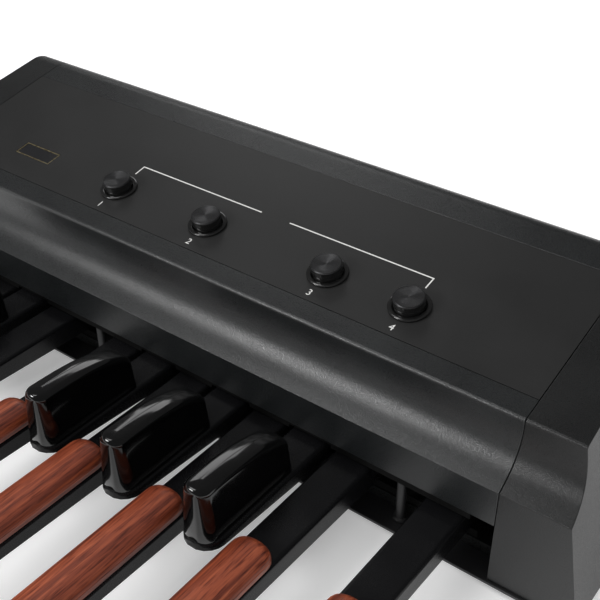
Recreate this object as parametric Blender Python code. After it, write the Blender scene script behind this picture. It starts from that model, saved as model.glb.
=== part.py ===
# Thirteen-note bass pedalboard: a rear housing with a sloping control panel, thirteen
# sprung pedals that come out under its front lip, and four push buttons.
# Metres, +Z up, the player at -Y, the lowest note at -X.
# Origin: on the floor, at the centre of the footprint.

import bpy
import bmesh
from math import radians, sin, cos, tan, pi, atan2, sqrt
from mathutils import Vector, Matrix

for old in list(bpy.data.objects):
    bpy.data.objects.remove(old, do_unlink=True)

MM = 0.001
GAP = 0.3                      # clearance between touching pieces, mm

# ---- driving dimensions, mm ----
PITCH = 64.0                   # natural to natural
STEP = PITCH / 2               # one semitone between neighbouring pedals
HALF_W = 256.4                 # half length of the housing between the end caps
DEPTH_REAR = 240.75            # rear wall, outer face
FRONT_Y = -240.75              # front end of the natural treads
PANEL_Y, PANEL_Z = 95.25, 114.0   # front seam of the control plate
PANEL_TILT = 11.64             # degrees
PLATE_DEPTH = 107.4
PLATE_T = 2.0
FRONT_EDGE_Y = 79.65           # top front edge of the housing, start of the cove
LIP_Y = 58.95                  # outer face of the vertical lip
LIP_TOP_Z, LIP_LOW_Z = 73.4, 48.5
REAR_V0, REAR_R = 124.0, 20.0  # rounded rear edge of the housing
WALL = 2.5
CAP_TOP_W = 34.9               # width of an end cap along its top edge
CAP_DRAFT = 0.1853             # outward lean of its side, mm per mm
BASE_LOW, BASE_HIGH = 3.5, 5.5 # steel base plate
HOUSING_LOW = 5.8

PIVOT_Y, PIVOT_Z = 205.0, 30.0
ROD_R, BORE_R = 3.0, 3.3
LEVER_W = 26.0
LEVER_T = 1.5
NAT_TOP, SHARP_TOP = 40.5, 43.0
PIVOT_LOW_Z = 19.35            # underside of every lever at the pivot
NAT_FRONT, NAT_NOSE_LOW = -238.0, 35.0
SHARP_FRONT, SHARP_NOSE_LOW = -45.75, 38.6
LEVER_REAR = 214.0
TREAD_REAR = -25.5
CAP_FRONT, CAP_REAR = -44.2, 33.5
NAT_ANGLE, SHARP_ANGLE = 1.9, 2.9   # travel to the lower stop, degrees

BUTTON_X = (-85.8, -1.5, 98.3, 158.5)
BUTTON_V = 25.85
BUTTON_R, BUTTON_TOP = 10.0, 8.7
BEZEL_R = 13.5
BUTTON_TRAVEL = 1.2

# note name, place in semitone steps from the middle of the board, natural or not
NOTES = [("c_low", -7, True), ("c_sharp", -6, False), ("d", -5, True), ("d_sharp", -4, False),
         ("e", -3, True), ("f", -1, True), ("f_sharp", 0, False), ("g", 1, True),
         ("g_sharp", 2, False), ("a", 3, True), ("a_sharp", 4, False), ("b", 5, True),
         ("c_high", 7, True)]


# ---- materials ----
def material(name, colour, rough, metal=0.0):
    m = bpy.data.materials.new(name)
    m.use_nodes = True
    p = m.node_tree.nodes["Principled BSDF"]
    p.inputs["Base Color"].default_value = (*colour, 1.0)
    p.inputs["Roughness"].default_value = rough
    p.inputs["Metallic"].default_value = metal
    m.diffuse_color = (*colour, 1.0)
    return m


# ---- mesh helpers, all in mm ----
def new_object(name, bm, mat, loc=(0, 0, 0), parent=None):
    bmesh.ops.recalc_face_normals(bm, faces=bm.faces)
    me = bpy.data.meshes.new(name)
    bmesh.ops.scale(bm, vec=(MM, MM, MM), verts=bm.verts)
    bm.to_mesh(me)
    bm.free()
    if mat:
        me.materials.append(mat)
    ob = bpy.data.objects.new(name, me)
    bpy.context.scene.collection.objects.link(ob)
    ob.location = [c * MM for c in loc]
    if parent:
        ob.parent = parent
    return ob


def add_prism(bm, pts, axis, lo, hi, lo_shift=None, hi_shift=None):
    """Closed prism over a polygon. axis 0, 1 or 2 is the extrusion axis; pts are the other two
    coordinates in order. lo and hi are numbers, or functions of the point."""
    def place(p, h):
        h = h(p) if callable(h) else h
        v = list(p)
        v.insert(axis, h)
        return v
    a = [bm.verts.new(place(p, lo)) for p in pts]
    b = [bm.verts.new(place(p, hi)) for p in pts]
    n = len(pts)
    bm.faces.new(a)
    bm.faces.new(list(reversed(b)))
    for i in range(n):
        j = (i + 1) % n
        bm.faces.new((a[j], a[i], b[i], b[j]))
    return a, b


def prism(name, pts, axis, lo, hi, mat=None, loc=(0, 0, 0), parent=None):
    bm = bmesh.new()
    add_prism(bm, pts, axis, lo, hi)
    return new_object(name, bm, mat, loc, parent)


def box_pts(x0, x1, y0, y1):
    return [(x0, y0), (x1, y0), (x1, y1), (x0, y1)]


def box(name, lo, hi, mat=None, loc=(0, 0, 0), parent=None):
    return prism(name, box_pts(lo[0], hi[0], lo[1], hi[1]), 2, lo[2], hi[2], mat, loc, parent)


def turned(name, profile, steps, mat=None, loc=(0, 0, 0), parent=None, axis="Z"):
    """Solid of revolution from (radius, height) points that start and end on the axis or close
    on themselves."""
    bm = bmesh.new()
    on_axis = abs(profile[0][0]) < 1e-6
    rings = []
    for r, h in profile:
        if r < 1e-6:
            rings.append([bm.verts.new((0, 0, h))])
        else:
            rings.append([bm.verts.new((r * cos(2 * pi * k / steps), r * sin(2 * pi * k / steps), h))
                          for k in range(steps)])
    m = len(rings)
    pairs = [(i, i + 1) for i in range(m - 1)] + ([] if on_axis else [(m - 1, 0)])
    for i, j in pairs:
        a, b = rings[i], rings[j]
        for k in range(steps):
            q = (k + 1) % steps
            if len(a) == 1 and len(b) == 1:
                continue
            if len(a) == 1:
                bm.faces.new((a[0], b[k], b[q]))
            elif len(b) == 1:
                bm.faces.new((a[q], a[k], b[0]))
            else:
                bm.faces.new((a[k], b[k], b[q], a[q]))
    if axis == "X":
        bmesh.ops.rotate(bm, cent=(0, 0, 0), matrix=Matrix.Rotation(pi / 2, 3, "Y"), verts=bm.verts)
    if axis == "Y":
        bmesh.ops.rotate(bm, cent=(0, 0, 0), matrix=Matrix.Rotation(-pi / 2, 3, "X"), verts=bm.verts)
    ob = new_object(name, bm, mat, loc, parent)
    ob.data.shade_smooth()
    ob.data.set_sharp_from_angle(angle=radians(35))
    return ob


def cutter(ob):
    ob.hide_render = True
    ob.display_type = "WIRE"
    return ob


def cut(ob, tool, op="DIFFERENCE"):
    m = ob.modifiers.new(op.lower(), "BOOLEAN")
    m.operation = op
    m.solver = "EXACT"
    m.object = cutter(tool)


def bevel(ob, width, segments=2, angle=35):
    m = ob.modifiers.new("edge_radius", "BEVEL")
    m.width = width * MM
    m.segments = segments
    m.limit_method = "ANGLE"
    m.angle_limit = radians(angle)
    m.harden_normals = False


def panel(v, n):
    """Point (y, z) at distance v up the panel's slope and n above its face."""
    t = radians(PANEL_TILT)
    return (PANEL_Y + v * cos(t) - n * sin(t), PANEL_Z + v * sin(t) + n * cos(t))


def bezier(p0, p1, p2, p3, n):
    out = []
    for i in range(n + 1):
        t = i / n
        s = 1 - t
        out.append(tuple(s ** 3 * a + 3 * s * s * t * b + 3 * s * t * t * c + t ** 3 * d
                         for a, b, c, d in zip(p0, p1, p2, p3)))
    return out


def offset_line(pts, d):
    """Shift an open polyline sideways by d, to its right, with mitred corners."""
    out = []
    n = len(pts)
    for i in range(n):
        if i == 0:
            t0 = t1 = Vector(pts[1]) - Vector(pts[0])
        elif i == n - 1:
            t0 = t1 = Vector(pts[-1]) - Vector(pts[-2])
        else:
            t0 = Vector(pts[i]) - Vector(pts[i - 1])
            t1 = Vector(pts[i + 1]) - Vector(pts[i])
        t0.normalize()
        t1.normalize()
        n0 = Vector((t0.y, -t0.x))
        n1 = Vector((t1.y, -t1.x))
        m = (n0 + n1).normalized()
        k = d / max(m.dot(n0), 0.3)
        out.append((pts[i][0] + m.x * k, pts[i][1] + m.y * k))
    return out


# ---- the materials ----
shell_mat = material("charcoal_textured_paint", (0.030, 0.032, 0.033), 0.42)
plate_mat = material("charcoal_matt_paint", (0.045, 0.045, 0.046), 0.50)
cap_mat = material("charcoal_textured_plastic", (0.028, 0.030, 0.031), 0.42)
steel_mat = material("black_painted_steel", (0.050, 0.050, 0.052), 0.45, 0.0)
zinc_mat = material("zinc_plated_steel", (0.55, 0.55, 0.53), 0.32, 1.0)
wood_mat = material("reddish_hardwood", (0.30, 0.085, 0.040), 0.45)
gloss_mat = material("gloss_black_plastic", (0.006, 0.006, 0.007), 0.06)
felt_mat = material("black_felt", (0.020, 0.020, 0.020), 0.95)
rubber_mat = material("black_rubber", (0.02, 0.02, 0.02), 0.85)
lever_mat = material("satin_black_lever", (0.028, 0.028, 0.030), 0.38)
button_mat = material("turned_black_button", (0.035, 0.035, 0.036), 0.30, 0.6)
bezel_mat = material("gloss_black_bezel", (0.008, 0.008, 0.008), 0.12)
board_mat = material("green_circuit_board", (0.02, 0.12, 0.05), 0.45)
spring_mat = material("spring_steel", (0.42, 0.42, 0.43), 0.28, 1.0)
socket_mat = material("black_socket_plastic", (0.015, 0.015, 0.015), 0.40)
badge_mat = material("badge_black", (0.012, 0.012, 0.014), 0.15)


# ---- housing section ----
cove = bezier((FRONT_EDGE_Y, 106.0), (FRONT_EDGE_Y, 90.0), (72.45, 80.4), (LIP_Y, LIP_TOP_Z), 9)
EDGE_V = (FRONT_EDGE_Y - PANEL_Y) / cos(radians(PANEL_TILT))


def front_line():
    """Outer face from the lip's lower edge up the cove to the top front edge."""
    top = panel(EDGE_V, 0.0)
    r = 1.6
    return ([(LIP_Y, LIP_LOW_Z), (LIP_Y, LIP_TOP_Z)] + list(reversed(cove))[1:]
            + [(FRONT_EDGE_Y, top[1] - 1.5 * r), (FRONT_EDGE_Y + 0.35 * r, top[1] - 0.4 * r),
               panel(EDGE_V + 1.5 * r, 0.0)])


def rear_line(low, steps=8):
    """Outer face over the rounded rear edge and down the rear wall."""
    py, pz = panel(REAR_V0, 0.0)
    t = radians(PANEL_TILT)
    cy, cz = py + REAR_R * sin(t), pz - REAR_R * cos(t)
    out = []
    for i in range(steps + 1):
        a = -t + (pi / 2 + t) * i / steps
        out.append((cy + REAR_R * sin(a), cz + REAR_R * cos(a)))
    return out + [(out[-1][0], low)]


shelf = -PLATE_T - GAP
outer = (front_line() + [panel(-GAP / 2, 0.0), panel(-GAP / 2, shelf),
                         panel(PLATE_DEPTH + GAP / 2, shelf), panel(PLATE_DEPTH + GAP / 2, 0.0)]
         + rear_line(HOUSING_LOW))
inner_skin = (front_line()[:-1] + [panel(EDGE_V + 4.0, 0.0), panel(-5.0, shelf + 0.6), panel(0.0, shelf),
                                   panel(PLATE_DEPTH, shelf), panel(PLATE_DEPTH + 6.0, -0.5)]
              + rear_line(HOUSING_LOW))
inner = offset_line(inner_skin, WALL)
inner[0] = (inner[0][0], LIP_LOW_Z)
inner[-1] = (inner[-1][0], HOUSING_LOW)
shell = prism("housing_shell", outer + list(reversed(inner)), 0, -HALF_W + GAP / 2, HALF_W - GAP / 2, shell_mat)

panel_frame = bpy.data.objects.new("panel_frame", None)
bpy.context.scene.collection.objects.link(panel_frame)
panel_frame.location = (0, PANEL_Y * MM, PANEL_Z * MM)
panel_frame.rotation_euler = (radians(PANEL_TILT), 0, 0)

# holes for the button barrels through the shelf of the shell
for i, bx in enumerate(BUTTON_X):
    hole = turned("shelf_hole_%d" % (i + 1), [(0, -9.0), (12.2, -9.0), (12.2, -1.0), (0, -1.0)], 24,
                  None, (bx, BUTTON_V, 0), panel_frame)
    cut(shell, hole)
# window in the rear wall for the sockets
cut(shell, box("rear_window", (110, DEPTH_REAR - 6, 22), (168, DEPTH_REAR + 3, 58)))

# ---- control plate ----
plate = box("control_plate", (-HALF_W + GAP, GAP / 2, -PLATE_T), (HALF_W - GAP, PLATE_DEPTH - GAP / 2, 0),
            plate_mat, (0, 0, 0), panel_frame)
for i, bx in enumerate(BUTTON_X):
    hole = turned("plate_hole_%d" % (i + 1), [(0, -4.0), (11.8, -4.0), (11.8, 2.0), (0, 2.0)], 32,
                  None, (bx, BUTTON_V, 0), panel_frame)
    cut(plate, hole)
BADGE = (-193.4, -156.8, 21.0, 34.7)
cut(plate, box("badge_recess", (BADGE[0], BADGE[2], -1.3), (BADGE[1], BADGE[3], 1.0), None, (0, 0, 0), panel_frame))
box("badge_plate", (BADGE[0] + GAP, BADGE[2] + GAP, -1.0), (BADGE[1] - GAP, BADGE[3] - GAP, -0.45),
    badge_mat, (0, 0, 0), panel_frame)

# ---- buttons ----
for i, bx in enumerate(BUTTON_X):
    n = i + 1
    # threaded bush: flange on the plate, barrel down to the board
    turned("button_bezel_%d" % n,
           [(10.35, -12.0), (11.45, -12.0), (11.45, GAP), (BEZEL_R, GAP), (BEZEL_R, 1.3), (13.0, 1.9), (10.9, 1.9),
            (10.35, 1.4)], 32, bezel_mat, (bx, BUTTON_V, 0), panel_frame)
    # cap: turned top with a shallow dish, skirt inside the bush, stem towards the switch
    turned("button_cap_%d" % n,
           [(0, -4.2), (2.6, -4.2), (2.6, -2.6), (9.2, -2.6), (9.2, -3.4), (BUTTON_R, -3.4), (BUTTON_R, BUTTON_TOP - 0.7),
            (BUTTON_R - 0.7, BUTTON_TOP), (1.3, BUTTON_TOP - 0.25), (0, BUTTON_TOP - 0.35)], 32,
           button_mat, (bx, BUTTON_V, 0), panel_frame)

# ---- control board under the buttons, with its four switches ----
board = box("control_board", (-106, 8, -13.9), (178, 46, -12.3), board_mat, (0, 0, 0), panel_frame)
for i, bx in enumerate(BUTTON_X):
    cut(board, cutter(box("switch_%d" % (i + 1), (bx - 4, BUTTON_V - 4, -13.0), (bx + 4, BUTTON_V + 4, -6.0),
                          None, (0, 0, 0), panel_frame)), "UNION")

# ---- end caps ----
def side_x(z, inset=0.0):
    return HALF_W + CAP_TOP_W + (panel(EDGE_V, 0)[1] - z) * CAP_DRAFT - inset


cap_section = ([(LIP_Y, HOUSING_LOW)] + front_line()[1:] + rear_line(HOUSING_LOW, 6))
for side, sx in (("left", -1), ("right", 1)):
    bm = bmesh.new()
    add_prism(bm, cap_section, 0, sx * (HALF_W + GAP / 2), lambda p: sx * side_x(p[1]))
    cap = new_object("end_cap_" + side, bm, cap_mat)
    inner_cap = offset_line(cap_section, 2.8)
    inner_cap[0] = (inner_cap[0][0], HOUSING_LOW - 5)
    inner_cap[-1] = (inner_cap[-1][0], HOUSING_LOW - 5)
    bm = bmesh.new()
    add_prism(bm, inner_cap, 0, sx * (HALF_W - 5), lambda p: sx * side_x(p[1], 3.0))
    cut(cap, new_object("end_cap_hollow_" + side, bm, None))

# ---- base plate with a folded rear flange ----
BASE_X = HALF_W + 47
base_section = [(57.3, BASE_LOW), (236.6, BASE_LOW), (236.6, 20.0), (234.8, 20.0), (234.8, BASE_HIGH), (57.3, BASE_HIGH)]
prism("base_plate", base_section, 0, -BASE_X, BASE_X, steel_mat)
for i, (fx, fy) in enumerate(((-270, 76), (270, 76), (-270, 222), (270, 222))):
    turned("foot_%d" % (i + 1), [(0, 0), (9.0, 0), (10.0, 1.0), (10.0, BASE_LOW - GAP), (0, BASE_LOW - GAP)], 20,
           rubber_mat, (fx, fy, 0))

# ---- posts that tie the lip to the base plate in the two wide gaps ----
for i, k in enumerate((-2, 6)):
    turned("lip_post_%d" % (i + 1), [(0, BASE_HIGH + GAP), (4.5, BASE_HIGH + GAP), (4.5, 7.6), (3.0, 8.2), (3.0, 50.2), (0, 50.2)],
           20, steel_mat, (k * STEP, 68.5, 0))

# ---- rail behind the lip, and the felt that each pedal rests up against ----
prism("stop_rail", [(61.8, 50.5), (82.0, 50.5), (82.0, 52.5), (63.8, 52.5), (63.8, 71.0), (61.8, 71.0)], 0,
      -HALF_W + 1, HALF_W - 1, zinc_mat)


def stepped(name, y0, y1, level_nat, level_sharp, far, mat, skip=()):
    """Felt strip across all pedals, with its working face at one height under the naturals and
    another under the sharps."""
    edges = []
    for name_, k, nat in NOTES:
        lv = level_nat if nat else level_sharp
        edges += [((k - 0.5) * STEP, lv), ((k + 0.5) * STEP, lv)]
    pts = []
    for x, lv in edges:
        if pts and abs(pts[-1][0] - x) < 1e-6 and abs(pts[-1][1] - lv) < 1e-6:
            continue
        pts.append((x, lv))
    clean = []
    for p in pts:
        if len(clean) >= 2 and abs(clean[-1][1] - p[1]) < 1e-6 and abs(clean[-2][1] - p[1]) < 1e-6:
            clean[-1] = p
        else:
            clean.append(p)
    poly = clean + [(clean[-1][0], far), (clean[0][0], far)]
    bm = bmesh.new()
    add_prism(bm, poly, 1, y0, y1)
    return new_object(name, bm, mat)


upper_felt = stepped("upper_stop_felt", 62.3, 81.5, NAT_TOP + GAP, SHARP_TOP + GAP, 50.2, felt_mat)
for i, k in enumerate((-2, 6)):
    cut(upper_felt, turned("felt_hole_%d" % i, [(0, 30), (4.6, 30), (4.6, 60), (0, 60)], 16, None, (k * STEP, 68.5, 0)))

lower_felt = stepped("lower_stop_felt", 76.0, 88.0, 19.2, 22.1, 14.0, felt_mat)

# ---- comb on the base plate: seat for the lower felt, and a guide post in each gap ----
bm = bmesh.new()
seat_y0, seat_y1, seat_z = 75.0, 97.0, 13.7
gaps = [k + 0.5 for k in range(-8, 8)]
outline = [(-HALF_W + 6, BASE_HIGH + GAP), (HALF_W - 6, BASE_HIGH + GAP), (HALF_W - 6, seat_z)]
for gk in reversed(gaps):
    gx = gk * STEP
    if abs(gx) > HALF_W - 8:
        continue
    outline += [(gx + 1.5, seat_z), (gx + 1.5, 45.0), (gx - 1.5, 45.0), (gx - 1.5, seat_z)]
outline += [(-HALF_W + 6, seat_z)]
add_prism(bm, outline, 1, 90.0, seat_y1)
guide = new_object("guide_comb", bm, cap_mat)
cut(guide, box("guide_seat", (-HALF_W + 6, seat_y0, BASE_HIGH + GAP), (HALF_W - 6, 91.0, seat_z)), "UNION")

# ---- pivot rod and the comb that carries it ----
turned("pivot_rod", [(0, -247), (ROD_R, -247), (ROD_R, 247), (0, 247)], 24, zinc_mat, (0, PIVOT_Y, PIVOT_Z), None, "X")
bm = bmesh.new()
outline = [(-HALF_W + 6, BASE_HIGH + GAP), (HALF_W - 6, BASE_HIGH + GAP), (HALF_W - 6, 9.0)]
for gk in reversed(gaps):
    gx = gk * STEP
    outline += [(gx + 1.5, 9.0), (gx + 1.5, 38.0), (gx - 1.5, 38.0), (gx - 1.5, 9.0)]
outline += [(-HALF_W + 6, 9.0)]
add_prism(bm, outline, 1, PIVOT_Y - 9, PIVOT_Y + 9)
comb = new_object("pivot_comb", bm, steel_mat)
cut(comb, turned("comb_bore", [(0, -260), (BORE_R, -260), (BORE_R, 260), (0, 260)], 24, None, (0, PIVOT_Y, PIVOT_Z), None, "X"))

# ---- spring comb: one flat steel finger inside each lever, just ahead of its pivot ----
spring = box("spring_comb", (-HALF_W + 8, 158, BASE_HIGH + GAP), (HALF_W - 8, 172, 10.0), spring_mat)
for note, k, nat in NOTES:
    tip = (NAT_TOP - LEVER_T - 0.5) if nat else (SHARP_TOP - LEVER_T - 0.7)
    finger = [(164, 9.0), (165.4, 9.0), (185, tip - 2.6), (193, tip - 0.9), (193, tip), (184.4, tip - 1.6)]
    cut(spring, prism("finger_" + note, finger, 0, k * STEP - 5, k * STEP + 5), "UNION")

# ---- sensor board under the levers ----
sensor = box("sensor_board", (-246, 108, 8.4), (246, 140, 10.0), board_mat)
for i, sx in enumerate((-236, -80, 80, 236)):
    cut(sensor, box("sensor_spacer_%d" % i, (sx - 4, 120, BASE_HIGH + GAP), (sx + 4, 128, 9.0)), "UNION")
for note, k, nat in NOTES:
    cut(sensor, box("sensor_" + note, (k * STEP - 5, 118, 9.5), (k * STEP + 5, 130, 14.5)), "UNION")

# ---- sockets on the rear wall ----
conn = box("connector_plate", (102, 236.45, 23), (176, 237.95, 64), steel_mat)
MIDI_X, DC_X, SOCK_Z = 126.0, 153.0, 40.0
cut(conn, turned("midi_hole", [(0, -6), (8.6, -6), (8.6, 6), (0, 6)], 24, None, (MIDI_X, 237.2, SOCK_Z), None, "Y"))
cut(conn, turned("dc_hole", [(0, -6), (5.8, -6), (5.8, 6), (0, 6)], 24, None, (DC_X, 237.2, SOCK_Z), None, "Y"))
turned("midi_socket", [(0, -16), (8.3, -16), (8.3, 1.05), (9.6, 1.05), (9.6, 2.0), (9.2, 2.4), (7.0, 2.4), (7.0, -8.0), (0, -8.0)],
       24, socket_mat, (MIDI_X, 237.2, SOCK_Z), None, "Y")
turned("dc_socket", [(0, -13), (5.5, -13), (5.5, 1.05), (7.0, 1.05), (7.0, 2.0), (6.6, 2.4), (3.2, 2.4), (3.2, -8.0), (1.0, -8.0),
                     (1.0, 1.0), (0, 1.0)], 16, socket_mat, (DC_X, 237.2, SOCK_Z), None, "Y")


# ---- pedals ----
def lever_low(y, nat):
    y0, z0 = (NAT_FRONT, NAT_NOSE_LOW) if nat else (SHARP_FRONT, SHARP_NOSE_LOW)
    return z0 + (PIVOT_LOW_Z - z0) * (y - y0) / (PIVOT_Y - y0)


def make_lever(note, k, nat):
    """Folded channel, open underneath: rounded top edges, flanges that deepen towards the pivot,
    and a nose that is round in plan."""
    top = NAT_TOP if nat else SHARP_TOP
    y0 = NAT_FRONT if nat else SHARP_FRONT
    hw = LEVER_W / 2
    r = 2.5
    # nose stations: distance behind the nose, half width
    nose = [(13.0 * (1 - cos(a)), hw * sin(a)) for a in (radians(v) for v in (14, 34, 54, 72, 90))]
    stations = [(y0 + d, w) for d, w in nose] + [(LEVER_REAR, hw)]

    def ring(y, w, t):
        """Section of the outside (t = 0), or of the hollow at wall thickness t."""
        low = lever_low(y, nat)
        zt = top - t
        ww = w - t
        rr = min(r - t if t < r else 0.6, ww * 0.8)
        rr = max(rr, 0.5)
        pts = [(-ww, low)]
        arc = (0, 30, 60, 90)
        pts += [(-ww + rr * (1 - cos(radians(a))), zt - rr + rr * sin(radians(a))) for a in arc]
        pts += [(ww - rr * (1 - cos(radians(a))), zt - rr + rr * sin(radians(a))) for a in reversed(arc)]
        pts += [(ww, low)]
        return pts

    bm = bmesh.new()
    rings = []
    for y, w in stations:
        rings.append([bm.verts.new((x, y - PIVOT_Y, z - PIVOT_Z)) for x, z in ring(y, w, 0.0)])
    n = len(rings[0])
    bm.faces.new(rings[0])
    bm.faces.new(list(reversed(rings[-1])))
    for a, b in zip(rings, rings[1:]):
        for i in range(n):
            j = (i + 1) % n
            bm.faces.new((a[i], b[i], b[j], a[j]))
    lever = new_object("lever_" + note, bm, lever_mat, (k * STEP, PIVOT_Y, PIVOT_Z))
    # the hollow under the web
    bm = bmesh.new()
    ya = y0 + 8.0
    hollow = [(ya - PIVOT_Y, lever_low(ya, nat) - PIVOT_Z - 8), (LEVER_REAR + 5 - PIVOT_Y, PIVOT_LOW_Z - PIVOT_Z - 8),
              (LEVER_REAR + 5 - PIVOT_Y, top - LEVER_T - PIVOT_Z), (ya - PIVOT_Y, top - LEVER_T - PIVOT_Z)]
    add_prism(bm, hollow, 0, -hw + LEVER_T, hw - LEVER_T)
    hol = new_object("hollow_" + note, bm, None, (k * STEP, PIVOT_Y, PIVOT_Z))
    # round the hollow's front corners so that the nose keeps its wall
    plan = [(-hw + LEVER_T, 30 - PIVOT_Y if False else LEVER_REAR + 5 - PIVOT_Y), (-hw + LEVER_T, ya + 8 - PIVOT_Y),
            (-hw + 6, ya - PIVOT_Y), (hw - 6, ya - PIVOT_Y), (hw - LEVER_T, ya + 8 - PIVOT_Y),
            (hw - LEVER_T, LEVER_REAR + 5 - PIVOT_Y)]
    keep = prism("hollow_plan_" + note, plan, 2, -60, 60, None, (k * STEP, PIVOT_Y, PIVOT_Z))
    cut(hol, keep, "INTERSECT")
    cut(lever, hol)
    cut(lever, turned("bore_" + note, [(0, -20), (BORE_R, -20), (BORE_R, 20), (0, 20)], 24, None,
                      (k * STEP, PIVOT_Y, PIVOT_Z), None, "X"))
    return lever


def make_tread(note, lever):
    """Wooden strip along the front part of a natural: upright sides, a crowned top, round ends."""
    hw, low, side, crown = 12.8, NAT_TOP + GAP, 44.6, 52.0
    length = TREAD_REAR - FRONT_Y
    ends = [(0.0, 0.40, 0.25), (1.2, 0.66, 0.62), (3.6, 0.88, 0.86), (8.0, 1.0, 1.0)]
    st = [(FRONT_Y + d, w, h) for d, w, h in ends] + [(TREAD_REAR - d, w, h) for d, w, h in reversed(ends)]
    bm = bmesh.new()
    rings = []
    for y, w, h in st:
        ww = hw * w
        zs = low + (side - low) * (0.55 + 0.45 * h)
        zc = zs + (crown - side) * h
        pts = [(-ww, low)]
        for a in range(180, -1, -22):
            a = radians(max(a, 0))
            pts.append((ww * cos(a), zs + (zc - zs) * sin(a) ** 0.8))
        pts.append((ww, zs)) if abs(pts[-1][0] - ww) > 1e-6 else None
        pts.append((ww, low))
        rings.append([bm.verts.new((x, y - PIVOT_Y, z - PIVOT_Z)) for x, z in pts])
    n = len(rings[0])
    bm.faces.new(rings[0])
    bm.faces.new(list(reversed(rings[-1])))
    for a, b in zip(rings, rings[1:]):
        for i in range(n):
            j = (i + 1) % n
            bm.faces.new((a[i], b[i], b[j], a[j]))
    return new_object("tread_" + note, bm, wood_mat, (0, 0, 0), lever)


def cap_top_z(y):
    """Height of a sharp's cap along its length: almost level at the front, falling to the rear."""
    u = max(0.0, (y - (CAP_FRONT + 6)) / (CAP_REAR - CAP_FRONT - 6))
    return 80.4 - 1.2 * u - 13.0 * u ** 3.2


def make_sharp_cap(note, lever):
    """Tall moulded cap: sides that lean in towards the top, round corners in plan, an arched top."""
    low = SHARP_TOP + GAP
    L = CAP_REAR - CAP_FRONT
    corner_f, corner_r = 8.0, 5.0
    hb, ht = 11.0, 8.9
    st = []
    for a in (20, 45, 70, 90):
        a = radians(a)
        st.append((CAP_FRONT + corner_f * (1 - sin(a)) if False else CAP_FRONT + corner_f * (1 - cos(pi / 2 - a)) * 1.0, a))
    ys = []
    for a in (0, 25, 50, 72, 90):
        ar = radians(a)
        ys.append((CAP_FRONT + corner_f * (1 - cos(ar)), (corner_f * (1 - sin(ar)))))
    mid = [(CAP_FRONT + corner_f + (L - corner_f - corner_r) * q, 0.0) for q in (0.3, 0.55, 0.78)]
    rear = []
    for a in (90, 65, 40, 0):
        ar = radians(a)
        rear.append((CAP_REAR - corner_r * (1 - cos(ar)), corner_r * (1 - sin(ar))))
    bm = bmesh.new()
    rings = []
    for y, inset in ys + mid + rear:
        dz_end = 3.2 * max(0.0, 1 - (y - CAP_FRONT) / 4.0) + 9.0 * max(0.0, 1 - (CAP_REAR - y) / 9.0) ** 2
        zt = cap_top_z(y) - dz_end
        wb, wt = hb - inset, ht - inset
        r = 4.2
        zs = zt - r
        pts = [(-wb, low)]
        for a in (0, 30, 60, 90):
            ar = radians(a)
            pts.append((-wt + min(r, wt * 0.9) * (1 - cos(ar)), zs + r * sin(ar)))
        for a in (90, 60, 30, 0):
            ar = radians(a)
            pts.append((wt - min(r, wt * 0.9) * (1 - cos(ar)), zs + r * sin(ar)))
        pts.append((wb, low))
        rings.append([bm.verts.new((x, y - PIVOT_Y, z - PIVOT_Z)) for x, z in pts])
    n = len(rings[0])
    bm.faces.new(rings[0])
    bm.faces.new(list(reversed(rings[-1])))
    for a, b in zip(rings, rings[1:]):
        for i in range(n):
            j = (i + 1) % n
            bm.faces.new((a[i], b[i], b[j], a[j]))
    cap = new_object("cap_" + note, bm, gloss_mat, (0, 0, 0), lever)
    # hollow inside
    ya, yb = CAP_FRONT + 5.5 - PIVOT_Y, CAP_REAR - 4.0 - PIVOT_Y
    pts = [(ya, low - 5 - PIVOT_Z), (yb, low - 5 - PIVOT_Z), (yb, 55 - PIVOT_Z), (yb - 22, 66 - PIVOT_Z), (ya + 2, 74 - PIVOT_Z), (ya, 72 - PIVOT_Z)]
    bm = bmesh.new()
    add_prism(bm, pts, 0, -5.4, 5.4)
    cut(cap, new_object("cap_hollow_" + note, bm, None, (0, 0, 0), lever))
    return cap


for note, k, nat in NOTES:
    lever = make_lever(note, k, nat)
    if nat:
        make_tread(note, lever)
    else:
        make_sharp_cap(note, lever)

bpy.context.view_layer.update()
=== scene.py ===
from math import radians, sin, cos, tan, pi, atan2, sqrt
import bpy
import bmesh
from mathutils import Vector, Matrix


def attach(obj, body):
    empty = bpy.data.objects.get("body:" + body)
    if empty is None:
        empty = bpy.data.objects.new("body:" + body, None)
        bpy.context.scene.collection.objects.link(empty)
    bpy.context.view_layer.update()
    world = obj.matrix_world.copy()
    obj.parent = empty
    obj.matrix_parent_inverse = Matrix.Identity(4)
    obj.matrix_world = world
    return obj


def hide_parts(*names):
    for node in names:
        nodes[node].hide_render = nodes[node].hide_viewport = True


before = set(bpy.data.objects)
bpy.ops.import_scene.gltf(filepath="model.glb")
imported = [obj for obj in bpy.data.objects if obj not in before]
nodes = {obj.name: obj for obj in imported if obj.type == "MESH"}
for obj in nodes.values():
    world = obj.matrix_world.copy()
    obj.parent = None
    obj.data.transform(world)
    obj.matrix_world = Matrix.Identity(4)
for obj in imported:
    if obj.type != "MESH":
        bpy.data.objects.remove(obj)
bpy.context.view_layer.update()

MM = 0.001


# ---------------------------------------------------------------- node helpers
def new_material(name):
    m = bpy.data.materials.new(name)
    m.use_nodes = True
    return m, m.node_tree, m.node_tree.nodes["Principled BSDF"]


def add(nt, kind, **values):
    n = nt.nodes.new(kind)
    for k, v in values.items():
        if hasattr(n, k):
            setattr(n, k, v)
        else:
            n.inputs[k.replace("_", " ")].default_value = v
    return n


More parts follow.
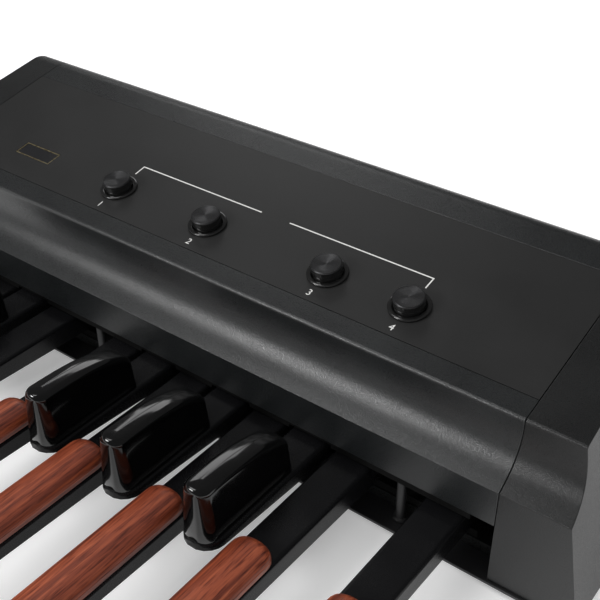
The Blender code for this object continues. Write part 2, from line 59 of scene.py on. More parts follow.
def coords(nt, scale=(1, 1, 1)):
    """Object coordinates in metres, stretched."""
    tc = nt.nodes.new("ShaderNodeTexCoord")
    mp = nt.nodes.new("ShaderNodeMapping")
    mp.inputs["Scale"].default_value = scale
    nt.links.new(tc.outputs["Object"], mp.inputs["Vector"])
    return mp.outputs["Vector"]


def noise(nt, vec, scale, detail=3.0, rough=0.55):
    n = nt.nodes.new("ShaderNodeTexNoise")
    n.inputs["Scale"].default_value = scale
    n.inputs["Detail"].default_value = detail
    n.inputs["Roughness"].default_value = rough
    nt.links.new(vec, n.inputs["Vector"])
    return n.outputs["Fac"]


def ramp(nt, fac, stops):
    r = nt.nodes.new("ShaderNodeValToRGB")
    el = r.color_ramp.elements
    while len(el) < len(stops):
        el.new(0.5)
    for e, (p, c) in zip(el, stops):
        e.position = p
        e.color = (*c, 1.0) if len(c) == 3 else c
    nt.links.new(fac, r.inputs["Fac"])
    return r.outputs["Color"]


def span(nt, fac, lo, hi, a=0.0, b=1.0):
    n = nt.nodes.new("ShaderNodeMapRange")
    n.inputs["From Min"].default_value = a
    n.inputs["From Max"].default_value = b
    n.inputs["To Min"].default_value = lo
    n.inputs["To Max"].default_value = hi
    nt.links.new(fac, n.inputs["Value"])
    return n.outputs["Result"]


def bump(nt, bsdf, height, strength, distance):
    b = nt.nodes.new("ShaderNodeBump")
    b.inputs["Strength"].default_value = strength
    b.inputs["Distance"].default_value = distance
    nt.links.new(height, b.inputs["Height"])
    nt.links.new(b.outputs["Normal"], bsdf.inputs["Normal"])
    return b


def grained(name, dark, light, rough, grain, strength, spec=0.5, metal=0.0, coat=0.0, depth=0.0002, speckle=0.02):
    """Moulded or painted surface: fine grain in the bump, soft cloudiness in colour and gloss."""
    m, nt, p = new_material(name)
    v = coords(nt)
    fine = noise(nt, v, grain, 2.0)
    broad = noise(nt, v, 22.0, 4.0)
    speck = noise(nt, v, grain * 0.6, 1.0)
    mix = nt.nodes.new("ShaderNodeMath")
    mix.operation = "MULTIPLY_ADD"
    mix.inputs[1].default_value = 0.45
    nt.links.new(speck, mix.inputs[0])
    nt.links.new(span(nt, broad, 0.0, 0.55), mix.inputs[2])
    nt.links.new(ramp(nt, mix.outputs[0], [(0.25, dark), (0.75, light)]), p.inputs["Base Color"])
    gloss = nt.nodes.new("ShaderNodeMath")
    gloss.operation = "ADD"
    nt.links.new(span(nt, broad, rough - 0.03, rough + 0.03, 0.3, 0.7), gloss.inputs[0])
    nt.links.new(span(nt, fine, -speckle, speckle, 0.35, 0.65), gloss.inputs[1])
    nt.links.new(gloss.outputs[0], p.inputs["Roughness"])
    p.inputs["Specular IOR Level"].default_value = spec
    p.inputs["Metallic"].default_value = metal
    p.inputs["Coat Weight"].default_value = coat
    bump(nt, p, fine, strength, depth)
    return m


shell_mat = grained("shell_paint", (0.004, 0.0045, 0.005), (0.010, 0.0115, 0.012), 0.33, 2700.0, 0.60, spec=0.55, depth=0.00016, speckle=0.14)
plate_mat = grained("plate_paint", (0.011, 0.011, 0.011), (0.017, 0.017, 0.017), 0.40, 2200.0, 0.25, spec=0.32)
cap_mat = grained("end_cap_plastic", (0.004, 0.0042, 0.0045), (0.010, 0.0105, 0.0105), 0.34, 2700.0, 0.60, spec=0.45, depth=0.00016, speckle=0.14)
steel_paint = grained("steel_paint", (0.010, 0.010, 0.011), (0.020, 0.020, 0.021), 0.42, 900.0, 0.30)
lever_mat = grained("lever_paint", (0.003, 0.003, 0.0035), (0.007, 0.007, 0.0075), 0.26, 1800.0, 0.20, spec=0.2)
rubber_mat = grained("foot_rubber", (0.012, 0.012, 0.012), (0.022, 0.022, 0.022), 0.80, 1200.0, 0.60)
socket_mat = grained("socket_plastic", (0.010, 0.010, 0.010), (0.018, 0.018, 0.018), 0.42, 1600.0, 0.25)
zinc_mat = grained("zinc_plate", (0.42, 0.42, 0.40), (0.62, 0.62, 0.58), 0.34, 700.0, 0.15, metal=1.0)
spring_mat = grained("spring_steel", (0.34, 0.34, 0.35), (0.48, 0.48, 0.49), 0.28, 900.0, 0.10, metal=1.0)
board_mat = grained("board_lacquer", (0.010, 0.09, 0.035), (0.020, 0.14, 0.055), 0.40, 500.0, 0.20)
bezel_mat = grained("bezel_gloss", (0.004, 0.004, 0.004), (0.008, 0.008, 0.008), 0.14, 600.0, 0.03, coat=0.3)
badge_mat = grained("badge_face", (0.004, 0.004, 0.005), (0.010, 0.010, 0.011), 0.20, 800.0, 0.05, coat=0.4)
gloss_mat = grained("cap_gloss", (0.0008, 0.0008, 0.0009), (0.0018, 0.0018, 0.0019), 0.12, 260.0, 0.02, coat=0.25)


def make_wood():
    m, nt, p = new_material("tread_wood")
    v = coords(nt, (380.0, 9.0, 380.0))
    w = noise(nt, v, 1.0, 5.0, 0.62)
    pores = noise(nt, coords(nt, (1100.0, 70.0, 1100.0)), 1.0, 2.0)
    cloud = noise(nt, coords(nt, (9.0, 3.0, 9.0)), 1.0, 2.0)
    col = ramp(nt, w, [(0.28, (0.080, 0.012, 0.005)), (0.46, (0.17, 0.033, 0.013)), (0.58, (0.26, 0.056, 0.022)),
                       (0.76, (0.37, 0.098, 0.042))])
    shade = ramp(nt, cloud, [(0.30, (0.72, 0.66, 0.62)), (0.70, (1.0, 1.0, 1.0))])
    mul = nt.nodes.new("ShaderNodeMix")
    mul.data_type = "RGBA"
    mul.blend_type = "MULTIPLY"
    mul.inputs["Factor"].default_value = 1.0
    nt.links.new(col, mul.inputs[6])
    nt.links.new(shade, mul.inputs[7])
    dark = nt.nodes.new("ShaderNodeMix")
    dark.data_type = "RGBA"
    dark.blend_type = "MULTIPLY"
    nt.links.new(span(nt, pores, 0.0, 0.85, 0.50, 0.70), dark.inputs["Factor"])
    nt.links.new(mul.outputs[2], dark.inputs[6])
    dark.inputs[7].default_value = (0.35, 0.22, 0.16, 1.0)
    nt.links.new(dark.outputs[2], p.inputs["Base Color"])
    nt.links.new(span(nt, w, 0.50, 0.36), p.inputs["Roughness"])
    p.inputs["Specular IOR Level"].default_value = 0.35
    p.inputs["Coat Weight"].default_value = 0.05
    p.inputs["Coat Roughness"].default_value = 0.25
    bump(nt, p, pores, 0.5, 0.0002)
    return m


def make_felt():
    m, nt, p = new_material("stop_felt")
    v = coords(nt)
    a = noise(nt, v, 1600.0, 4.0)
    nt.links.new(ramp(nt, a, [(0.3, (0.002, 0.002, 0.002)), (0.7, (0.007, 0.007, 0.007))]), p.inputs["Base Color"])
    p.inputs["Roughness"].default_value = 0.95
    p.inputs["Specular IOR Level"].default_value = 0.1
    bump(nt, p, a, 0.8, 0.0004)
    return m


def make_turned():
    """Metal face turned on a lathe: rings about the button's own axis, in the panel's tilt."""
    m, nt, p = new_material("button_turned")
    at = nt.nodes.new("ShaderNodeAttribute")
    at.attribute_name = "turn_radius"
    wave = nt.nodes.new("ShaderNodeMath")
    wave.operation = "MULTIPLY"
    wave.inputs[1].default_value = 9000.0
    nt.links.new(at.outputs["Fac"], wave.inputs[0])
    s = nt.nodes.new("ShaderNodeMath")
    s.operation = "SINE"
    nt.links.new(wave.outputs[0], s.inputs[0])
    grain = noise(nt, coords(nt), 1500.0, 2.0)
    nt.links.new(ramp(nt, grain, [(0.3, (0.028, 0.028, 0.029)), (0.7, (0.058, 0.058, 0.060))]), p.inputs["Base Color"])
    nt.links.new(span(nt, grain, 0.26, 0.38), p.inputs["Roughness"])
    p.inputs["Metallic"].default_value = 0.8
    bump(nt, p, s.outputs[0], 0.40, 0.00012)
    return m


def make_print():
    m, nt, p = new_material("panel_print")
    g = noise(nt, coords(nt), 900.0, 2.0)
    nt.links.new(ramp(nt, g, [(0.3, (0.50, 0.50, 0.49)), (0.7, (0.66, 0.66, 0.64))]), p.inputs["Base Color"])
    nt.links.new(span(nt, g, 0.45, 0.6), p.inputs["Roughness"])
    bump(nt, p, g, 0.1, 0.0001)
    return m


def make_brass():
    m, nt, p = new_material("badge_rim")
    g = noise(nt, coords(nt, (200, 1200, 200)), 1.0, 2.0)
    nt.links.new(ramp(nt, g, [(0.3, (0.62, 0.50, 0.27)), (0.7, (0.80, 0.70, 0.45))]), p.inputs["Base Color"])
    nt.links.new(span(nt, g, 0.22, 0.34), p.inputs["Roughness"])
    p.inputs["Metallic"].default_value = 1.0
    bump(nt, p, g, 0.05, 0.0001)
    return m


wood_mat, felt_mat, turned_mat, print_mat, rim_mat = make_wood(), make_felt(), make_turned(), make_print(), make_brass()

by_prefix = [("lever_", lever_mat), ("tread_", wood_mat), ("cap_", gloss_mat), ("foot_", rubber_mat),
             ("button_bezel", bezel_mat), ("button_cap", turned_mat), ("lip_post", steel_paint), ("end_cap", cap_mat),
             ("housing_shell", shell_mat), ("control_plate", plate_mat), ("base_plate", steel_paint),
             ("badge_plate", badge_mat), ("pivot_rod", zinc_mat), ("pivot_comb", steel_paint), ("spring_comb", spring_mat),
             ("guide_comb", cap_mat), ("stop_rail", zinc_mat), ("upper_stop", felt_mat), ("lower_stop", felt_mat),
             ("control_board", board_mat), ("sensor_board", board_mat), ("connector_plate", steel_paint),
             ("midi_socket", socket_mat), ("dc_socket", socket_mat)]
for name, ob in nodes.items():
    for prefix, mat in by_prefix:
        if name.startswith(prefix):
            ob.data.materials.clear()
            ob.data.materials.append(mat)
            break
    for poly in ob.data.polygons:
        poly.use_smooth = True
    ob.data.set_sharp_from_angle(angle=radians(32))

# ---------------------------------------------------------------- the panel's own frame
PANEL = Matrix.Translation((0, 95.25 * MM, 114.0 * MM)) @ Matrix.Rotation(radians(11.64), 4, "X")
BUTTON_X = (-85.8, -1.5, 98.3, 158.5)
BUTTON_V = 25.85


def piece(name, bm, mat, body="housing", matrix=None, smooth=35):
    bmesh.ops.recalc_face_normals(bm, faces=bm.faces)
    bmesh.ops.scale(bm, vec=(MM, MM, MM), verts=bm.verts)
    me = bpy.data.meshes.new(name)
    bm.to_mesh(me)
    bm.free()
    me.materials.append(mat)
    if matrix is not None:
        me.transform(matrix)
    ob = bpy.data.objects.new(name, me)
    bpy.context.scene.collection.objects.link(ob)
    for poly in me.polygons:
        poly.use_smooth = True
    me.set_sharp_from_angle(angle=radians(smooth))
    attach(ob, body)
    return ob


def slab(bm, x0, x1, y0, y1, z0, z1):
    vs = [bm.verts.new((x, y, z)) for z in (z0, z1) for x, y in ((x0, y0), (x1, y0), (x1, y1), (x0, y1))]
    for f in ((0, 3, 2, 1), (4, 5, 6, 7), (0, 1, 5, 4), (1, 2, 6, 5), (2, 3, 7, 6), (3, 0, 4, 7)):
        bm.faces.new([vs[i] for i in f])


# ---------------------------------------------------------------- printed marks on the control plate
bm = bmesh.new()
T0, T1 = 0.005, 0.05
slab(bm, -87.2, 23.4, 53.05, 53.95, T0, T1)
slab(bm, 47.4, 158.7, 53.05, 53.95, T0, T1)
slab(bm, -87.2, -86.3, 44.0, 53.05, T0, T1)
slab(bm, 157.8, 158.7, 44.0, 53.05, T0, T1)
piece("panel_bracket", bm, print_mat, matrix=PANEL)

for i, bx in enumerate(BUTTON_X):
    cu = bpy.data.curves.new("button_number_%d" % (i + 1), "FONT")
    cu.body = str(i + 1)
    cu.size = 7.2 * MM
    cu.extrude = 0.02 * MM
    cu.align_x = "CENTER"
    tmp = bpy.data.objects.new("number_src", cu)
    bpy.context.scene.collection.objects.link(tmp)
    bpy.context.view_layer.update()
    me = bpy.data.meshes.new_from_object(tmp)
    bpy.data.objects.remove(tmp, do_unlink=True)
    me.materials.clear()
    me.materials.append(print_mat)
    me.transform(PANEL @ Matrix.Translation((bx * MM, 4.0 * MM, 0.03 * MM)))
    ob = bpy.data.objects.new("button_number_%d" % (i + 1), me)
    bpy.context.scene.collection.objects.link(ob)
    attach(ob, "housing")

# badge rim: a thin metal frame round the bare badge
bm = bmesh.new()
x0, x1, y0, y1, w = -193.0, -157.2, 21.4, 34.3, 0.7
for a in ((x0, x1, y0, y0 + w), (x0, x1, y1 - w, y1), (x0, x0 + w, y0 + w, y1 - w), (x1 - w, x1, y0 + w, y1 - w)):
    slab(bm, a[0], a[1], a[2], a[3], -0.44, -0.1)
piece("badge_rim", bm, rim_mat, matrix=PANEL)


# ---------------------------------------------------------------- buttons, turned finer than the solids
def turned(profile, steps):
    bm = bmesh.new()
    rings = []
    for r, h in profile:
        if r < 1e-6:
            rings.append([bm.verts.new((0, 0, h))])
        else:
            rings.append([bm.verts.new((r * cos(2 * pi * k / steps), r * sin(2 * pi * k / steps), h)) for k in range(steps)])
    closed = profile[0][0] > 1e-6
    pairs = [(i, i + 1) for i in range(len(rings) - 1)] + ([(len(rings) - 1, 0)] if closed else [])
    for i, j in pairs:
        a, b = rings[i], rings[j]
        for k in range(steps):
            q = (k + 1) % steps
            if len(a) == 1:
                bm.faces.new((a[0], b[k], b[q]))
            elif len(b) == 1:
                bm.faces.new((a[q], a[k], b[0]))
            else:
                bm.faces.new((a[k], b[k], b[q], a[q]))
    return bm


for i, bx in enumerate(BUTTON_X):
    n = i + 1
    place = PANEL @ Matrix.Translation((bx * MM, BUTTON_V * MM, 0))
    prof = [(0, -4.2), (2.6, -4.2), (2.6, -2.6), (9.2, -2.6), (9.2, -3.4), (10.0, -3.4), (10.0, 7.7), (9.93, 8.15),
            (9.75, 8.45), (9.45, 8.62), (9.1, 8.70), (8.9, 8.62), (6.0, 8.5), (3.0, 8.42), (0.9, 8.38), (0.5, 8.30), (0, 8.30)]
    bm = turned(prof, 96)
    ob = piece("button_top_%d" % n, bm, turned_mat, "button_%d" % n, place, 30)
    attr = ob.data.attributes.new("turn_radius", "FLOAT", "POINT")
    inv = place.inverted()
    for v in ob.data.vertices:
        q = inv @ v.co
        attr.data[v.index].value = sqrt(q.x * q.x + q.y * q.y)
    ob.data.materials.append(bezel_mat)
    for poly in ob.data.polygons:
        c = inv @ poly.center
        if sqrt(c.x ** 2 + c.y ** 2) > 9.6 * MM and c.z < 7.9 * MM:
            poly.material_index = 1
    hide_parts("button_cap_%d" % n)
    prof = [(10.35, -12.0), (11.45, -12.0), (11.45, 0.3), (13.5, 0.3), (13.5, 1.1), (13.4, 1.45), (13.15, 1.72), (12.8, 1.86),
            (12.3, 1.9), (11.3, 1.9), (10.8, 1.8), (10.5, 1.6), (10.35, 1.2)]
    ob = piece("button_ring_%d" % n, turned(prof, 96), bezel_mat, "housing", place, 30)
    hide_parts("button_bezel_%d" % n)


# ---------------------------------------------------------------- finer caps and treads
NOTES = [("c_low", -7, True), ("c_sharp", -6, False), ("d", -5, True), ("d_sharp", -4, False), ("e", -3, True),
         ("f", -1, True), ("f_sharp", 0, False), ("g", 1, True), ("g_sharp", 2, False), ("a", 3, True),
         ("a_sharp", 4, False), ("b", 5, True), ("c_high", 7, True)]


def loft(rings):
    """Closed skin over rings of equal length, with both ends filled by fans."""
    bm = bmesh.new()
    vs = [[bm.verts.new(p) for p in r] for r in rings]
    n = len(vs[0])
    for a, b in zip(vs, vs[1:]):
        for i in range(n):
            j = (i + 1) % n
            bm.faces.new((a[i], b[i], b[j], a[j]))
    bm.faces.new(vs[0])
    bm.faces.new(list(reversed(vs[-1])))
    return bm


CAP_FRONT, CAP_REAR, CAP_LOW = -44.2, 33.5, 43.3


def cap_top(y):
    u = max(0.0, (y - (CAP_FRONT + 6)) / (CAP_REAR - CAP_FRONT - 6))
    return 80.4 - 1.2 * u - 13.0 * u ** 3.2


def cap_mesh(k):
    """Rings from the bottom up: a round-cornered plan that leans in, then rolls over into the arched top."""
    hb, ht = 11.0, 8.9
    rf, rr = 8.0, 5.0
    roll = 5.0

    def plan(z_frac, inset):
        """Plan outline at a height given as a fraction of the side, shrunk by inset."""
        hw = hb + (ht - hb) * z_frac - inset
        yf = CAP_FRONT + 0.9 * z_frac + inset * 0.6
        yr = CAP_REAR - 0.6 * z_frac - inset * 1.3
        f = max(min(rf, hw) - 0.25 * inset, 1.5)
        r = max(min(rr, hw) - 0.25 * inset, 1.5)
        f, r = min(f, hw * 0.98), min(r, hw * 0.98)
        pts = []
        for a in range(0, 91, 10):
            a = radians(a)
            pts.append((-hw + f - f * cos(a), yf + f - f * sin(a)))
        for a in range(90, -1, -10):
            a = radians(a)
            pts.append((hw - f + f * cos(a), yf + f - f * sin(a)))
        for q in (0.1, 0.2, 0.3, 0.4, 0.5, 0.6, 0.7, 0.8, 0.9):
            pts.append((hw, yf + f + (yr - r - yf - f) * q))
        for a in range(0, 91, 10):
            a = radians(a)
            pts.append((hw - r + r * cos(a), yr - r + r * sin(a)))
        for a in range(90, -1, -10):
            a = radians(a)
            pts.append((-hw + r - r * cos(a), yr - r + r * sin(a)))
        for q in (0.9, 0.8, 0.7, 0.6, 0.5, 0.4, 0.3, 0.2, 0.1):
            pts.append((-hw, yf + f + (yr - r - yf - f) * q))
        return pts

    rings = []
    for zf in (0.0, 0.02, 0.25, 0.5, 0.75, 1.0):
        ring = []
        for x, y in plan(zf, 0.25 if zf == 0.0 else 0.0):
            edge = cap_top(y) - roll * (1.0 if y < CAP_REAR - 8 else 1.0 + 0.35 * (y - CAP_REAR + 8) / 8)
            ring.append((x + k * 32.0, y, CAP_LOW + (edge - CAP_LOW) * zf))
        rings.append(ring)
    for a in (12, 24, 36, 48, 60, 72, 82, 90):
        a = radians(a)
        inset = roll * (1 - cos(a)) * 0.92
        ring = []
        for x, y in plan(1.0, inset):
            base = roll * (1.0 if y < CAP_REAR - 8 else 1.0 + 0.35 * (y - CAP_REAR + 8) / 8)
            z = cap_top(y) - base + base * sin(a) * 0.93
            ring.append((x + k * 32.0, y, z))
        rings.append(ring)
    # the crown closes to the ridge along the middle
    last = rings[-1]
    for q, lift in ((0.6, 0.75), (0.25, 0.97), (0.06, 1.0)):
        ring = []
        for x, y, z in last:
            cx = k * 32.0
            yc = max(min(y, CAP_REAR - 11), CAP_FRONT + 12)
            ny = yc + (y - yc) * q
            ring.append((cx + (x - cx) * q, ny, z + (cap_top(ny) - z) * lift))
        rings.append(ring)
    return loft(rings)


TREAD_FRONT, TREAD_REAR, TREAD_LOW = -240.74, -25.5, 40.8


def tread_mesh(k):
    """Crowned strip: upright lower sides with a small chamfer line, rounded ends."""
    hw, side, crown = 12.8, 44.5, 51.9
    ends = [(0.0, 0.36), (0.3, 0.48), (0.8, 0.60), (1.6, 0.72), (2.8, 0.83), (4.5, 0.92), (7.0, 0.98), (10.0, 1.0)]
    ys = [(TREAD_FRONT + d, w) for d, w in ends]
    ys += [(TREAD_FRONT + 10 + (TREAD_REAR - TREAD_FRONT - 20) * q / 12.0, 1.0) for q in range(1, 12)]
    ys += [(TREAD_REAR - d, w) for d, w in reversed(ends)]
    rings = []
    for y, w in ys:
        ww = hw * w
        edge = min(1.0, 0.18 + 0.82 * sqrt(max(0.0, 1 - (1 - min(1.0, min(y - TREAD_FRONT, TREAD_REAR - y) / 9.0)) ** 2)))
        top = side + (crown - side) * edge
        sd = TREAD_LOW + (side - TREAD_LOW) * (0.75 + 0.25 * edge)
        pts = [(-ww + 0.2, TREAD_LOW), (-ww, TREAD_LOW + 0.3), (-ww, sd - 0.2), (-ww + 0.25, sd)]
        for a in range(1, 18):
            t = -1 + 2 * a / 18.0
            pts.append(((ww - 0.25) * sin(t * pi / 2), sd + (top - sd) * cos(t * pi / 2) ** 0.85))
        pts += [(ww - 0.25, sd), (ww, sd - 0.2), (ww, TREAD_LOW + 0.3), (ww - 0.2, TREAD_LOW)]
        rings.append([(x + k * 32.0, y, z) for x, z in pts])
    return loft(rings)


for note, k, nat in NOTES:
    if nat:
        ob = piece("tread_wood_" + note, tread_mesh(k), wood_mat, "pedal_" + note, None, 40)
        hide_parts("tread_" + note)
    else:
        ob = piece("cap_moulding_" + note, cap_mesh(k), gloss_mat, "pedal_" + note, None, 40)
        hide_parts("cap_" + note)

# ---------------------------------------------------------------- finer housing skins
PANEL_TILT, PANEL_Y, PANEL_Z = 11.64, 95.25, 114.0
FRONT_EDGE_Y, LIP_Y, LIP_TOP_Z, LIP_LOW_Z = 79.65, 58.95, 73.4, 48.5
HALF_W, PLATE_DEPTH, PLATE_T, GAP, WALL = 256.4, 107.4, 2.0, 0.3, 2.5
HOUSING_LOW = 5.8
EDGE_V = (FRONT_EDGE_Y - PANEL_Y) / cos(radians(PANEL_TILT))


def panel(v, n):
    t = radians(PANEL_TILT)
    return (PANEL_Y + v * cos(t) - n * sin(t), PANEL_Z + v * sin(t) + n * cos(t))


def bezier(p0, p1, p2, p3, n):
    out = []
    for i in range(n + 1):
        t = i / n
        q = 1 - t
        out.append(tuple(q ** 3 * a + 3 * q * q * t * b + 3 * q * t * t * c + t ** 3 * d
                         for a, b, c, d in zip(p0, p1, p2, p3)))
    return out


cove = bezier((FRONT_EDGE_Y, 106.0), (FRONT_EDGE_Y, 90.0), (72.45, 80.4), (LIP_Y, LIP_TOP_Z), 40)


def front_line():
    """Outer face from the lip up the cove, round the top front edge and onto the slope."""
    r = 2.6
    t = radians(PANEL_TILT)
    cx = FRONT_EDGE_Y + r
    cz = PANEL_Z + (-r + (cx - PANEL_Y) * sin(t)) / cos(t)
    arc = []
    for i in range(0, 9):
        a = radians(180 - i * (90 - PANEL_TILT) / 8)
        arc.append((cx + r * cos(a), cz + r * sin(a)))
    return [(LIP_Y, LIP_LOW_Z), (LIP_Y, LIP_TOP_Z)] + list(reversed(cove))[1:] + arc


def coarse_front():
    """The same face with few points, for the inside of the walls."""
    top = panel(EDGE_V, 0.0)
    few = bezier((FRONT_EDGE_Y, 106.0), (FRONT_EDGE_Y, 90.0), (72.45, 80.4), (LIP_Y, LIP_TOP_Z), 9)
    return ([(LIP_Y, LIP_LOW_Z), (LIP_Y, LIP_TOP_Z)] + list(reversed(few))[1:]
            + [(FRONT_EDGE_Y, top[1] - 2.4), (FRONT_EDGE_Y + 0.56, top[1] - 0.64), panel(EDGE_V + 2.4, 0.0)])


def rear_line(low, steps=24):
    py, pz = panel(124.0, 0.0)
    t = radians(PANEL_TILT)
    cy, cz = py + 20.0 * sin(t), pz - 20.0 * cos(t)
    out = []
    for i in range(steps + 1):
        a = -t + (pi / 2 + t) * i / steps
        out.append((cy + 20.0 * sin(a), cz + 20.0 * cos(a)))
    return out + [(out[-1][0], low)]


def offset_line(pts, d):
    out = []
    n = len(pts)
    for i in range(n):
        t0 = Vector(pts[max(i, 1)]) - Vector(pts[max(i, 1) - 1])
        t1 = Vector(pts[min(i + 1, n - 1)]) - Vector(pts[min(i + 1, n - 1) - 1])
        n0, n1 = Vector((t0.y, -t0.x)).normalized(), Vector((t1.y, -t1.x)).normalized()
        m = (n0 + n1).normalized()
        k = d / max(m.dot(n0), 0.3)
        out.append((pts[i][0] + m.x * k, pts[i][1] + m.y * k))
    return out


def prism_mesh(pts, lo, hi):
    """Closed prism along X over (y, z) points; lo and hi may depend on the point."""
    bm = bmesh.new()
    a = [bm.verts.new((lo(p) if callable(lo) else lo, p[0], p[1])) for p in pts]
    b = [bm.verts.new((hi(p) if callable(hi) else hi, p[0], p[1])) for p in pts]
    bm.faces.new(a)
    bm.faces.new(list(reversed(b)))
    for i in range(len(pts)):
        j = (i + 1) % len(pts)
        bm.faces.new((a[j], a[i], b[i], b[j]))
    return bm


def scratch_object(name, bm, matrix=None):
    bmesh.ops.recalc_face_normals(bm, faces=bm.faces)
    bmesh.ops.scale(bm, vec=(MM, MM, MM), verts=bm.verts)
    me = bpy.data.meshes.new(name)
    bm.to_mesh(me)
    bm.free()
    if matrix is not None:
        me.transform(matrix)
    ob = bpy.data.objects.new(name, me)
    bpy.context.scene.collection.objects.link(ob)
    return ob


def carve(base, tools, edge=0.0):
    """Cut the tools out of base, round its sharp edges, and return the finished mesh."""
    for t in tools:
        m = base.modifiers.new("cut", "BOOLEAN")
        m.operation = "DIFFERENCE"
        m.solver = "EXACT"
        m.object = t
    if edge:
        b = base.modifiers.new("edge", "BEVEL")
        b.width = edge * MM
        b.segments = 3
        b.limit_method = "ANGLE"
        b.angle_limit = radians(38)
        b.use_clamp_overlap = True
    dg = bpy.context.evaluated_depsgraph_get()
    me = bpy.data.meshes.new_from_object(base.evaluated_get(dg))
    for o in [base] + list(tools):
        bpy.data.objects.remove(o, do_unlink=True)
    return me


def finished(name, me, mat, body, node, smooth=30):
    me.materials.clear()
    me.materials.append(mat)
    for poly in me.polygons:
        poly.use_smooth = True
    me.set_sharp_from_angle(angle=radians(smooth))
    ob = bpy.data.objects.new(name, me)
    bpy.context.scene.collection.objects.link(ob)
    w = ob.modifiers.new("weighted", "WEIGHTED_NORMAL")
    w.keep_sharp = True
    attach(ob, body)
    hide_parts(node)
    return ob


shelf = -PLATE_T - GAP
outer = (front_line() + [panel(-GAP / 2, 0.0), panel(-GAP / 2, shelf), panel(PLATE_DEPTH + GAP / 2, shelf),
                         panel(PLATE_DEPTH + GAP / 2, 0.0)] + rear_line(HOUSING_LOW))
inner_skin = (coarse_front()[:-1] + [panel(EDGE_V + 4.0, 0.0), panel(-5.0, shelf + 0.6), panel(0.0, shelf),
                                   panel(PLATE_DEPTH, shelf), panel(PLATE_DEPTH + 6.0, -0.5)] + rear_line(HOUSING_LOW, 8))
inner = offset_line(inner_skin, WALL)
inner[0] = (inner[0][0], LIP_LOW_Z)
inner[-1] = (inner[-1][0], HOUSING_LOW)
base = scratch_object("skin_src", prism_mesh(outer + list(reversed(inner)), -HALF_W + GAP / 2, HALF_W - GAP / 2))
tools = []
for bx in BUTTON_X:
    tools.append(scratch_object("skin_hole", turned([(0, -9.0), (12.2, -9.0), (12.2, -1.0), (0, -1.0)], 48),
                                PANEL @ Matrix.Translation((bx * MM, BUTTON_V * MM, 0))))
bm = bmesh.new()
slab(bm, 110, 168, 234.75, 243.75, 22, 58)
tools.append(scratch_object("skin_window", bm))
finished("housing_skin", carve(base, tools, 0.45), shell_mat, "housing", "housing_shell")


def side_x(z, inset=0.0):
    return HALF_W + 34.9 + (panel(EDGE_V, 0)[1] - z) * 0.1853 - inset


cap_section = [(LIP_Y, HOUSING_LOW)] + front_line()[1:] + rear_line(HOUSING_LOW)
for side, sx in (("left", -1), ("right", 1)):
    base = scratch_object("cap_src", prism_mesh(cap_section, sx * (HALF_W + GAP / 2), lambda p: sx * side_x(p[1])))
    hollow = offset_line([(LIP_Y, HOUSING_LOW)] + coarse_front()[1:] + rear_line(HOUSING_LOW, 6), 2.8)
    hollow[0] = (hollow[0][0], HOUSING_LOW - 5)
    hollow[-1] = (hollow[-1][0], HOUSING_LOW - 5)
    tool = scratch_object("cap_tool", prism_mesh(hollow, sx * (HALF_W - 5), lambda p: sx * side_x(p[1], 3.0)))
    finished("end_skin_" + side, carve(base, [tool], 0.8), cap_mat, "housing", "end_cap_" + side)


def welded(node, mat, body, edge=0.0, smooth=32):
    """The node's own shape with joined vertices, so that it shades smoothly, and softened edges."""
    src = nodes[node]
    bm = bmesh.new()
    bm.from_mesh(src.data)
    bmesh.ops.remove_doubles(bm, verts=bm.verts, dist=0.00001)
    bmesh.ops.dissolve_limit(bm, angle_limit=radians(0.5), verts=bm.verts, edges=bm.edges)
    me = bpy.data.meshes.new(node + "_fine")
    bm.to_mesh(me)
    bm.free()
    ob = bpy.data.objects.new("weld_src", me)
    bpy.context.scene.collection.objects.link(ob)
    return finished(node + "_fine", carve(ob, [], edge), mat, body, node, smooth)


for note, k, nat in NOTES:
    welded("lever_" + note, lever_mat, "pedal_" + note)
welded("control_plate", plate_mat, "housing", 0.35)
welded("base_plate", steel_paint, "housing", 0.3)
for n in (1, 2, 3, 4):
    welded("foot_%d" % n, rubber_mat, "housing")
for n in (1, 2):
    welded("lip_post_%d" % n, steel_paint, "housing")
welded("midi_socket", socket_mat, "housing")
welded("dc_socket", socket_mat, "housing")
welded("pivot_rod", zinc_mat, "housing")

# contact pins in the round socket
bm = bmesh.new()
for a in (0, 45, 90, 135, 180):
    a = radians(a)
    x, z = 126.0 + 4.4 * cos(a), 40.0 - 4.4 * sin(a)
    ring = [(x + 0.7 * cos(2 * pi * q / 12), z + 0.7 * sin(2 * pi * q / 12)) for q in range(12)]
    lo = [bm.verts.new((u, 229.3, w_)) for u, w_ in ring]
    hi = [bm.verts.new((u, 230.6, w_)) for u, w_ in ring]
    bm.faces.new(lo)
    bm.faces.new(list(reversed(hi)))
    for q in range(12):
        r = (q + 1) % 12
        bm.faces.new((lo[q], hi[q], hi[r], lo[r]))
piece("midi_contacts", bm, rim_mat)

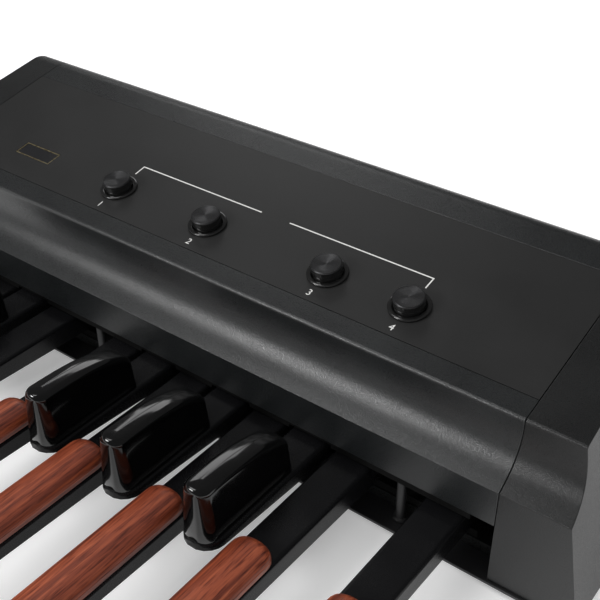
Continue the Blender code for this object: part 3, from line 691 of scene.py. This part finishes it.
# ---------------------------------------------------------------- floor, light and camera
bm = bmesh.new()
S = 30.0
vs = [bm.verts.new(p) for p in ((-S, -S, 0), (S, -S, 0), (S, S, 0), (-S, S, 0))]
bm.faces.new(vs)
me = bpy.data.meshes.new("floor")
bm.to_mesh(me)
bm.free()
floor = bpy.data.objects.new("floor", me)
bpy.context.scene.collection.objects.link(floor)
fm, fnt, fp = new_material("floor_white")
fp.inputs["Base Color"].default_value = (0.80, 0.80, 0.80, 1)
fp.inputs["Roughness"].default_value = 0.7
fp.inputs["Emission Color"].default_value = (1, 1, 1, 1)
fp.inputs["Emission Strength"].default_value = 0.3
me.materials.append(fm)

world = bpy.data.worlds.new("studio")
world.use_nodes = True
world.node_tree.nodes["Background"].inputs["Color"].default_value = (1, 1, 1, 1)
wn = world.node_tree
path = wn.nodes.new("ShaderNodeLightPath")
dim = wn.nodes.new("ShaderNodeMapRange")
dim.inputs["To Min"].default_value = 0.85
dim.inputs["To Max"].default_value = 0.13
wn.links.new(path.outputs["Is Glossy Ray"], dim.inputs["Value"])
wn.links.new(dim.outputs["Result"], wn.nodes["Background"].inputs["Strength"])
bpy.context.scene.world = world


def area(name, loc, target, size, power, size_y=None):
    li = bpy.data.lights.new(name, "AREA")
    li.energy = power
    li.size = size
    if size_y:
        li.shape = "RECTANGLE"
        li.size_y = size_y
    ob = bpy.data.objects.new(name, li)
    ob.location = loc
    ob.rotation_euler = (Vector(target) - Vector(loc)).to_track_quat("-Z", "Y").to_euler()
    bpy.context.scene.collection.objects.link(ob)
    return ob


area("top_box", (-0.78, -0.30, 1.85), (0, 0, 0.05), 1.0, 9, 0.6)
area("front_box", (-0.94, -1.56, 1.16), (0.1, 0.05, 0.08), 0.8, 24, 0.32)
area("rear_box", (-1.4, 1.7, 1.5), (0, 0.1, 0.1), 0.9, 4, 0.7)

cam_data = bpy.data.cameras.new("camera")
cam_data.sensor_width = 36.0
cam_data.lens = 61.22
cam_data.clip_start = 0.01
cam = bpy.data.objects.new("camera", cam_data)
bpy.context.scene.collection.objects.link(cam)
yaw, pitch, roll = radians(37.53), radians(34.67), radians(-0.29)
fwd = Vector((-sin(yaw) * cos(pitch), cos(yaw) * cos(pitch), -sin(pitch)))
r0 = Vector((cos(yaw), sin(yaw), 0))
u0 = r0.cross(fwd)
right = cos(roll) * r0 + sin(roll) * u0
up = -sin(roll) * r0 + cos(roll) * u0
rot = Matrix((right, up, -fwd)).transposed().to_4x4()
cam.matrix_world = Matrix.Translation((0.40886, -0.31226, 0.46736)) @ rot
bpy.context.scene.camera = cam
bpy.context.scene.view_settings.view_transform = "Standard"
